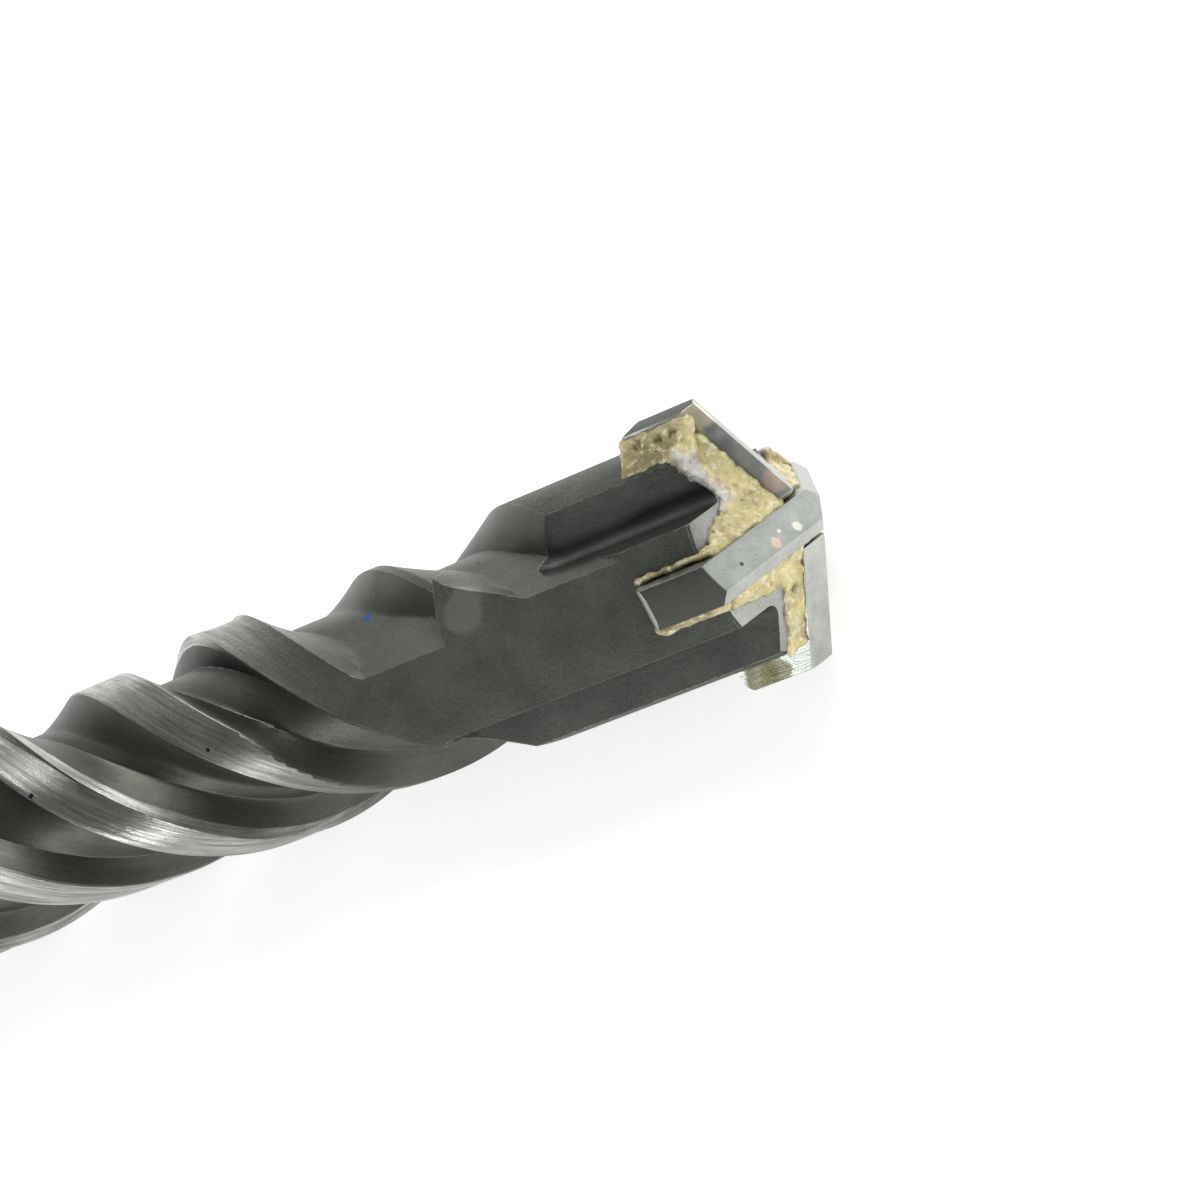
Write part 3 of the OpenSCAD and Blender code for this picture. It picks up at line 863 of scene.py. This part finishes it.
class Shader:
    """Lays out the nodes of one material. Lengths are in metres, and noise scales count per millimetre."""

    def __init__(self, name):
        self.material = bpy.data.materials.new(name)
        self.material.use_nodes = True
        self.tree = self.material.node_tree
        self.surface = self.tree.nodes["Principled BSDF"]

    def node(self, kind, **values):
        """Adds a node and sets its properties or input values."""
        item = self.tree.nodes.new("ShaderNode" + kind)
        for key, value in values.items():
            if hasattr(item, key):
                setattr(item, key, value)
            else:
                item.inputs[key.replace("_", " ")].default_value = value
        return item

    def link(self, source, target):
        """Links an output to an input."""
        self.tree.links.new(source, target)

    def feed(self, socket, value):
        """Sets an input to a number or a colour, or links another node's output to it."""
        if hasattr(value, "is_output"):
            self.link(value, socket)
        elif isinstance(value, (int, float)):
            socket.default_value = value
        else:
            socket.default_value = (*value[:3], 1)

    def position(self):
        """Position of the shaded point, in metres."""
        return self.node("NewGeometry").outputs["Position"]

    def stretched(self, vector, scale):
        """A position in millimetres, stretched by scale."""
        mapping = self.node("Mapping")
        mapping.inputs["Scale"].default_value = [1000 * k for k in scale]
        self.link(vector, mapping.inputs["Vector"])
        return mapping.outputs["Vector"]

    def place(self, scale=(1, 1, 1)):
        """Position on the bit in millimetres, stretched by scale."""
        return self.stretched(self.position(), scale)

    def helical(self, bit, scale):
        """Position in millimetres in a frame that turns with the flutes, stretched by scale."""
        roll = self.node("VectorRotate", rotation_type="X_AXIS")
        roll.inputs["Center"].default_value = (0, 0, bit.land_r)
        self.link(self.position(), roll.inputs["Vector"])
        turn = self.math("MULTIPLY", self.along("X"), -2 * math.pi / bit.s.flute_lead)
        self.link(turn, roll.inputs["Angle"])
        return self.stretched(roll.outputs["Vector"], scale)

    def along(self, axis):
        """One coordinate of the position, in metres."""
        split = self.node("SeparateXYZ")
        self.link(self.position(), split.inputs[0])
        return split.outputs[axis]

    def out_from_axis(self, bit):
        """Distance from the bit's axis, in metres."""
        high = self.math("SUBTRACT", self.along("Z"), bit.land_r)
        side = self.along("Y")
        squares = self.math("ADD", self.times(side, side), self.times(high, high))
        return self.math("SQRT", squares)

    def ground_lands(self, bit, ground):
        """Colour of the ground lands, a mask that is one behind the head, and the two kinds of streaks."""
        streak = self.noise(self.helical(bit, (0.09, 1, 1)), 2.6, 5.0, 0.65)
        scratch = self.noise(self.helical(bit, (0.16, 1, 1)), 8.0, 3.0, 0.6)
        bright = self.mix(self.ramp(streak, 0.36, 0.64), toned(ground, 0.4), ground)
        bright = self.mix(self.times(self.ramp(scratch, 0.58, 0.7), 0.6), bright, toned(ground, 0.25))
        back = self.ramp(self.along("X"), bit.point_x - 37 * MM, bit.point_x - 50 * MM)
        return bright, back, streak, scratch

    def mark(self, centre, radius, rgb, strength=1.0):
        """Lays a ragged spot of another colour over the finish."""
        away = self.node("VectorMath", operation="DISTANCE")
        self.link(self.position(), away.inputs[0])
        away.inputs[1].default_value = centre
        ragged = self.times(self.noise(self.place(), 1.1 * MM / radius, 3.0), 0.9 * radius)
        mask = self.ramp(self.math("ADD", away.outputs["Value"], ragged), 1.35 * radius, 1.1 * radius)
        socket = self.surface.inputs["Base Color"]
        below = socket.links[0].from_socket
        self.link(self.mix(self.times(mask, strength), below, rgb), socket)

    def noise(self, vector, scale, detail=3.0, rough=0.5):
        """Noise value between nought and one."""
        item = self.node("TexNoise", Scale=scale, Detail=detail, Roughness=rough)
        self.link(vector, item.inputs["Vector"])
        return item.outputs["Fac"]

    def ramp(self, value, low, high):
        """Maps low to nought and high to one, clamped."""
        item = self.node("MapRange", clamp=True)
        item.inputs["From Min"].default_value = low
        item.inputs["From Max"].default_value = high
        self.link(value, item.inputs["Value"])
        return item.outputs["Result"]

    def math(self, operation, a, b=0.0):
        """Sum, difference and the like of two values or outputs."""
        item = self.node("Math", operation=operation)
        self.feed(item.inputs[0], a)
        self.feed(item.inputs[1], b)
        return item.outputs[0]

    def times(self, a, b):
        """Product of two values or outputs."""
        return self.math("MULTIPLY", a, b)

    def mix(self, factor, a, b, blend="MIX"):
        """Mixes two colours."""
        item = self.node("Mix", data_type="RGBA", blend_type=blend)
        for index, value in ((0, factor), (6, a), (7, b)):
            self.feed(item.inputs[index], value)
        return item.outputs[2]

    def value_mix(self, factor, a, b):
        """Mixes two numbers."""
        item = self.node("Mix", data_type="FLOAT")
        for index, value in ((0, factor), (2, a), (3, b)):
            self.feed(item.inputs[index], value)
        return item.outputs[0]

    def edge_mask(self, radius):
        """One on edges, nought on flats, from the turn that a small bevel gives the normal."""
        bevel = self.node("Bevel", samples=6, Radius=radius)
        dot = self.node("VectorMath", operation="DOT_PRODUCT")
        self.link(bevel.outputs["Normal"], dot.inputs[0])
        self.link(self.node("NewGeometry").outputs["Normal"], dot.inputs[1])
        return self.ramp(dot.outputs["Value"], 0.995, 0.9)

    def painted_recess_shade(self, reach, shade, depth):
        """Painted shade: darkens a colour where the surface lies in a recess, by its ambient occlusion."""
        hollow = self.node("AmbientOcclusion", samples=6, Distance=reach)
        dark = self.mix(1.0, shade, (depth, depth, depth), "MULTIPLY")
        return self.mix(self.ramp(hollow.outputs["AO"], 0.35, 0.9), dark, shade)

    def finish(self, shade, rough, metal, height, depth, bevel_radius=None):
        """Links colour, roughness and bump to the surface, over edges rounded by the bevel radius."""
        self.link(shade, self.surface.inputs["Base Color"])
        self.link(rough, self.surface.inputs["Roughness"])
        self.surface.inputs["Metallic"].default_value = metal
        bump = self.node("Bump", Strength=1.0, Distance=depth)
        self.link(height, bump.inputs["Height"])
        if bevel_radius:
            bevel = self.node("Bevel", samples=6, Radius=bevel_radius)
            self.link(bevel.outputs["Normal"], bump.inputs["Normal"])
        self.link(bump.outputs["Normal"], self.surface.inputs["Normal"])
        return self

    def blasted(self, fine, base, light, pores, dark):
        """Cloudy colour of blasted steel, whose clouds are as light and whose pores are as dark as given."""
        cloud = self.ramp(self.noise(self.place(), 0.3, 3.0, 0.55), 0.3, 0.7)
        shade = self.mix(cloud, toned(base, 0.82), toned(base, light))
        return self.mix(self.times(self.ramp(fine, 0.55, 0.3), pores), shade, toned(base, dark))

    def worn_and_painted_highlight_edges(self, shade):
        """The colour with bright, ragged edges laid over it, partly worn metal and partly painted highlight,
        and one on those edges.
        """
        edge = self.times(self.edge_mask(0.12 * MM), self.ramp(self.noise(self.place(), 1.7), 0.35, 0.6))
        return self.mix(self.times(edge, 0.6), shade, WORN_AND_HIGHLIGHT_STEEL), edge


def steel_material(bit, name, base, roughness, grain, depth, streaks, ground=None):
    """Steel with grain and cutter lines along the helix, whose low lands are bright if ground is given."""
    sh = Shader(name)
    spot = sh.place()
    fine = sh.noise(spot, grain, 5.0, 0.65)
    dents = sh.noise(spot, 1.3, 4.0, 0.6)
    line = sh.noise(sh.helical(bit, (0.05, 1, 1)), 3.5, 4.0, 0.6)
    shade = sh.blasted(fine, base, 1.16, 0.45, 0.45)
    shade = sh.mix(sh.times(sh.ramp(line, 0.5, 0.75), streaks), shade, toned(base, 1.5))
    # Painted shade: the colour is darkened in recesses
    shade = sh.painted_recess_shade(5 * MM, shade, 0.28)
    rough = sh.value_mix(sh.ramp(fine, 0.3, 0.7), roughness + 0.07, roughness - 0.05)
    if ground:
        bright, back, streak, _ = sh.ground_lands(bit, ground)
        ragged = sh.times(sh.math("SUBTRACT", streak, 0.5), 0.3 * MM)
        out = sh.math("ADD", sh.out_from_axis(bit), ragged)
        top = sh.times(sh.ramp(out, bit.low_r - 0.2 * MM, bit.low_r - 0.1 * MM), back)
        shade = sh.mix(top, shade, bright)
        rough = sh.value_mix(top, rough, sh.value_mix(sh.ramp(streak, 0.35, 0.65), 0.36, 0.22))
    # Bright edges: partly worn bare metal, partly painted highlight
    shade, edge = sh.worn_and_painted_highlight_edges(shade)
    height = sh.math("ADD", sh.times(fine, 0.55), sh.value_mix(streaks, dents, line))
    return sh.finish(shade, sh.value_mix(edge, rough, 0.3), 0.9, height, depth, 0.1 * MM)


def land_material(bit, base, ground):
    """Blasted steel at the head, whose lands are ground bright with streaks and scratches further back."""
    sh = Shader("blasted_steel")
    spot = sh.place()
    fine = sh.noise(spot, 7.0, 5.0, 0.65)
    dents = sh.noise(spot, 2.2, 4.0, 0.65)
    bright, back, streak, scratch = sh.ground_lands(bit, ground)
    # Painted shade: the colour is darkened in recesses
    shade = sh.painted_recess_shade(4 * MM, sh.mix(back, sh.blasted(fine, base, 1.18, 0.5, 0.4), bright), 0.5)
    rough = sh.value_mix(sh.ramp(fine, 0.3, 0.7), 0.56, 0.44)
    rough = sh.value_mix(back, rough, sh.value_mix(sh.ramp(streak, 0.35, 0.65), 0.34, 0.2))
    rugged = sh.math("ADD", sh.times(fine, 0.8), dents)
    smooth = sh.times(sh.math("ADD", streak, scratch), 0.07)
    height = sh.value_mix(back, rugged, smooth)
    # Bright edges: partly worn bare metal, partly painted highlight
    return sh.finish(sh.worn_and_painted_highlight_edges(shade)[0], rough, 0.9, height, 0.42 * MM, 0.1 * MM)


def carbide_material(name, base, roughness):
    """Ground tungsten carbide with fine grinding marks and bright edges that are partly worn and partly
    painted highlight.
    """
    sh = Shader(name)
    spot = sh.place()
    cloud = sh.noise(spot, 0.7, 4.0, 0.6)
    fine = sh.noise(spot, 6.0, 4.0, 0.65)
    scratch = sh.noise(sh.place((0.3, 4, 0.3)), 2.5, 3.0)
    shade = sh.mix(sh.ramp(cloud, 0.3, 0.7), toned(base, 0.8), toned(base, 1.15))
    shade = sh.mix(sh.times(sh.ramp(fine, 0.58, 0.75), 0.6), shade, toned(base, 0.4))
    # Bright edges: partly worn carbide, partly painted highlight
    shade = sh.mix(sh.times(sh.edge_mask(0.1 * MM), 0.6), shade, WORN_AND_HIGHLIGHT_CARBIDE)
    rough = sh.value_mix(sh.ramp(cloud, 0.3, 0.7), roughness - 0.06, roughness + 0.08)
    return sh.finish(shade, rough, 1.0, sh.math("ADD", sh.times(fine, 0.8), scratch), 0.02 * MM, 0.08 * MM)


def braze_material(bit, finish):
    """Cast braze, gold beside the plates and silvery at its rim, with painted shade in olive patches behind
    the front and in recesses, and painted glints.
    """
    sh = Shader("cast_braze")
    spot = sh.place()
    cloud = sh.noise(spot, 0.6, 4.0, 0.6)
    grain = sh.noise(spot, 3.4, 5.0, 0.7)
    wings = sh.node("Mapping", vector_type="TEXTURE")
    wings.inputs["Location"].default_value = (0, 0, bit.land_r)
    wings.inputs["Rotation"].default_value = bit.wings.to_euler()
    sh.link(sh.position(), wings.inputs["Vector"])
    split = sh.node("SeparateXYZ")
    sh.link(wings.outputs["Vector"], split.inputs[0])
    # Distance from the nearer of the two plates' middle planes, made ragged
    away = [sh.math("ABSOLUTE", split.outputs[axis]) for axis in "YZ"]
    ragged = sh.times(sh.math("SUBTRACT", cloud, 0.5), 1.5 * MM)
    sideways = sh.math("ADD", sh.math("MINIMUM", *away), ragged)
    front = sh.ramp(sh.along("X"), bit.front_x - 0.9 * MM, bit.front_x - 0.1 * MM)
    rim = sh.times(sh.ramp(sideways, 3.25 * MM, 3.7 * MM), front)
    # Painted shade: cloudy patches behind the steel front that take a shaded copy of the braze colour
    painted_shade_patches = sh.times(sh.math("SUBTRACT", 1.0, front), sh.ramp(cloud, 0.25, 0.55))
    shade = sh.mix(sh.ramp(cloud, 0.36, 0.6), tuple(finish.braze), toned(finish.braze, 0.7))
    layers = (
        (sh.times(sh.ramp(sh.noise(spot, 0.75, 2.0), 0.56, 0.68), 0.75), finish.braze_pink),
        (rim, finish.braze_rim),
        # Painted shade in patches behind the front
        (sh.times(painted_shade_patches, 0.8), finish.braze_painted_shade),
        # Painted glints on the braze
        (sh.times(sh.ramp(sh.noise(spot, 1.6, 4.0, 0.7), 0.52, 0.62), 0.7), finish.braze_painted_glint),
        # Dark pores, in a darker tone of the painted shade colour
        (sh.times(sh.ramp(grain, 0.4, 0.3), 0.6), toned(finish.braze_painted_shade, 0.3)),
    )
    for cover, rgb in layers:
        shade = sh.mix(cover, shade, tuple(rgb))
    # Painted shade: the braze colour is darkened in recesses
    return sh.finish(sh.painted_recess_shade(0.8 * MM, shade, 0.6), sh.value_mix(grain, 0.2, 0.42), 1.0, grain, 0.22 * MM)


def make_floor():
    """Large pale floor."""
    radius = 3.0
    angles = np.linspace(0, 2 * math.pi, 96, endpoint=False)
    ring = [(radius * math.cos(a), radius * math.sin(a), 0) for a in angles]
    sh = Shader("pale_floor")
    sh.surface.inputs["Base Color"].default_value = (0.86, 0.86, 0.86, 1)
    sh.surface.inputs["Roughness"].default_value = 0.9
    sh.surface.inputs["Specular IOR Level"].default_value = 0.0
    seen = sh.node("LightPath")
    glossy = sh.math("MAXIMUM", seen.outputs["Is Camera Ray"], seen.outputs["Is Glossy Ray"])
    lit = sh.math("MAXIMUM", glossy, seen.outputs["Is Transmission Ray"])
    sh.surface.inputs["Emission Color"].default_value = (1, 1, 1, 1)
    sh.link(sh.times(lit, 0.72), sh.surface.inputs["Emission Strength"])
    floor = new_object("floor", ring, [tuple(range(len(ring)))], (sh.material,))


def make_world():
    """World that is pale round the horizon and dim overhead."""
    world = bpy.data.worlds.new("studio")
    bpy.context.scene.world = world
    world.use_nodes = True
    tree = world.node_tree
    back = tree.nodes["Background"]
    spot = tree.nodes.new("ShaderNodeTexCoord")
    split = tree.nodes.new("ShaderNodeSeparateXYZ")
    ramp = tree.nodes.new("ShaderNodeMapRange")
    ramp.inputs["From Min"].default_value = 0.1
    ramp.inputs["From Max"].default_value = 0.4
    ramp.inputs["To Min"].default_value = HORIZON
    ramp.inputs["To Max"].default_value = OVERHEAD
    tree.links.new(spot.outputs["Generated"], split.inputs[0])
    tree.links.new(split.outputs["Z"], ramp.inputs["Value"])
    tree.links.new(ramp.outputs["Result"], back.inputs["Strength"])
    back.inputs["Color"].default_value = (1, 1, 1, 1)


def make_lamp(name, place, target, size, watts):
    """Square area lamp that looks at target."""
    data = bpy.data.lights.new(name, "AREA")
    data.shape = "SQUARE"
    data.size = size
    data.energy = watts
    lamp = bpy.data.objects.new(name, data)
    lamp.location = place
    lamp.rotation_euler = (Vector(target) - Vector(place)).to_track_quat("-Z", "Y").to_euler()
    bpy.context.scene.collection.objects.link(lamp)


def make_camera(studio):
    """Camera at the photograph's viewing angle."""
    data = bpy.data.cameras.new("camera")
    data.lens = studio.lens
    data.sensor_width = SENSOR
    data.sensor_fit = "HORIZONTAL"
    data.clip_start = 0.005
    camera = bpy.data.objects.new("camera", data)
    camera.location = studio.place
    camera.rotation_euler = Euler(studio.turn, "XYZ")
    bpy.context.scene.collection.objects.link(camera)
    bpy.context.scene.camera = camera


class DRILLBIT_OT_steel_body(Operator):
    """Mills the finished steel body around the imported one"""

    bl_idname = "drillbit.steel_body"
    bl_label = "Steel Body"

    def execute(self, context):
        finish = context.scene.drill_bit_finish
        bit = sizes()
        shaders = (
            land_material(bit, tuple(finish.steel), tuple(finish.ground_steel)),
            steel_material(bit, "front_steel", tuple(finish.front_steel), 0.38, 6.0, 0.04 * MM, 0.0),
            steel_material(bit, "flute_steel", tuple(finish.flute_steel), 0.42, 9.0, 0.03 * MM, 0.35,
                           tuple(finish.ground_steel)),
            steel_material(bit, "groove_steel", tuple(finish.groove_steel), 0.5, 8.0, 0.03 * MM, 0.2),
        )
        body = build_steel_body(bit, [sh.material for sh in shaders])
        for px, py, radius, rgb in STEEL_MARKS:
            place = seen_at(context.scene.drill_bit_studio, body, px, py)
            for sh in (shaders[OUTER], shaders[FLUTE]):
                sh.mark(place, radius * MM, rgb)
        speck = seen_at(context.scene.drill_bit_studio, body, *PAINT_PIXEL)
        shaders[FLUTE].mark(speck, 0.42 * MM, tuple(finish.paint))
        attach(body, BODY)
        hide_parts("steel_body")
        return {"FINISHED"}


class DRILLBIT_OT_carbide_plates(Operator):
    """Grinds the three carbide plates"""

    bl_idname = "drillbit.carbide_plates"
    bl_label = "Carbide Plates"

    def execute(self, context):
        finish = context.scene.drill_bit_finish
        shaders = (
            carbide_material("ground_carbide", tuple(finish.carbide), 0.34),
            carbide_material("sintered_carbide", tuple(finish.carbide_side), 0.6),
        )
        materials = [sh.material for sh in shaders]
        bit = sizes()
        plates = {"main_carbide_plate": build_main_plate(bit, materials)}
        for name, quarter in (("side_carbide_plate_a", -90), ("side_carbide_plate_b", 90)):
            plates[name] = build_side_plate(bit, name, quarter, materials)
        for node, px, py, radius, rgb in CARBIDE_MARKS:
            place = seen_at(context.scene.drill_bit_studio, plates[node], px, py)
            shaders[0].mark(place, radius * MM, rgb, 0.85)
        for node, plate in plates.items():
            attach(plate, BODY)
            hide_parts(node)
        return {"FINISHED"}


class DRILLBIT_OT_braze(Operator):
    """Casts the braze round the plates"""

    bl_idname = "drillbit.braze"
    bl_label = "Braze"

    def execute(self, context):
        bit = sizes()
        shader = braze_material(bit, context.scene.drill_bit_finish)
        braze = build_braze(bit, shader.material, context.scene.drill_bit_studio)
        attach(braze, BODY)
        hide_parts("braze_filler")
        return {"FINISHED"}


class DRILLBIT_OT_studio(Operator):
    """Adds the floor, the lamps, the world and the camera"""

    bl_idname = "drillbit.studio"
    bl_label = "Studio"

    def execute(self, context):
        studio = context.scene.drill_bit_studio
        context.scene.view_settings.view_transform = "Standard"
        make_floor()
        make_world()
        make_lamp("key_lamp", (0.105, 0.45, 0.5), (0.055, 0, 0), 0.5, studio.key)
        make_lamp("fill_lamp", (-0.157, -0.423, 0.182), (0.045, 0, 0.01), 0.08, studio.fill)
        make_camera(studio)
        return {"FINISHED"}


class DRILLBIT_PT_panel(Panel):
    """Lists the settings and the steps"""

    bl_label = "Drill Bit"
    bl_idname = "DRILLBIT_PT_panel"
    bl_space_type = "VIEW_3D"
    bl_region_type = "UI"
    bl_category = "Drill Bit"

    def draw(self, context):
        scene = context.scene
        for group in (scene.drill_bit_sizes, scene.drill_bit_finish, scene.drill_bit_studio):
            column = self.layout.column()
            for name in type(group).__annotations__:
                column.prop(group, name)
        for step in STEPS:
            self.layout.operator(step.bl_idname)


STEPS = (DRILLBIT_OT_steel_body, DRILLBIT_OT_carbide_plates, DRILLBIT_OT_braze, DRILLBIT_OT_studio)
GROUPS = (DrillBitSizes, DrillBitFinish, DrillBitStudio)


def register():
    """Registers the classes and hangs the settings on the scene."""
    for item in (*GROUPS, *STEPS, DRILLBIT_PT_panel):
        bpy.utils.register_class(item)
    bpy.types.Scene.drill_bit_sizes = PointerProperty(type=DrillBitSizes)
    bpy.types.Scene.drill_bit_finish = PointerProperty(type=DrillBitFinish)
    bpy.types.Scene.drill_bit_studio = PointerProperty(type=DrillBitStudio)


def unregister():
    """Takes the settings and the classes away again."""
    del bpy.types.Scene.drill_bit_studio
    del bpy.types.Scene.drill_bit_finish
    del bpy.types.Scene.drill_bit_sizes
    for item in reversed((*GROUPS, *STEPS, DRILLBIT_PT_panel)):
        bpy.utils.unregister_class(item)


def main():
    """Builds everything in order."""
    register()
    bpy.ops.drillbit.steel_body()
    bpy.ops.drillbit.carbide_plates()
    bpy.ops.drillbit.braze()
    bpy.ops.drillbit.studio()


if __name__ == "__main__":
    main()
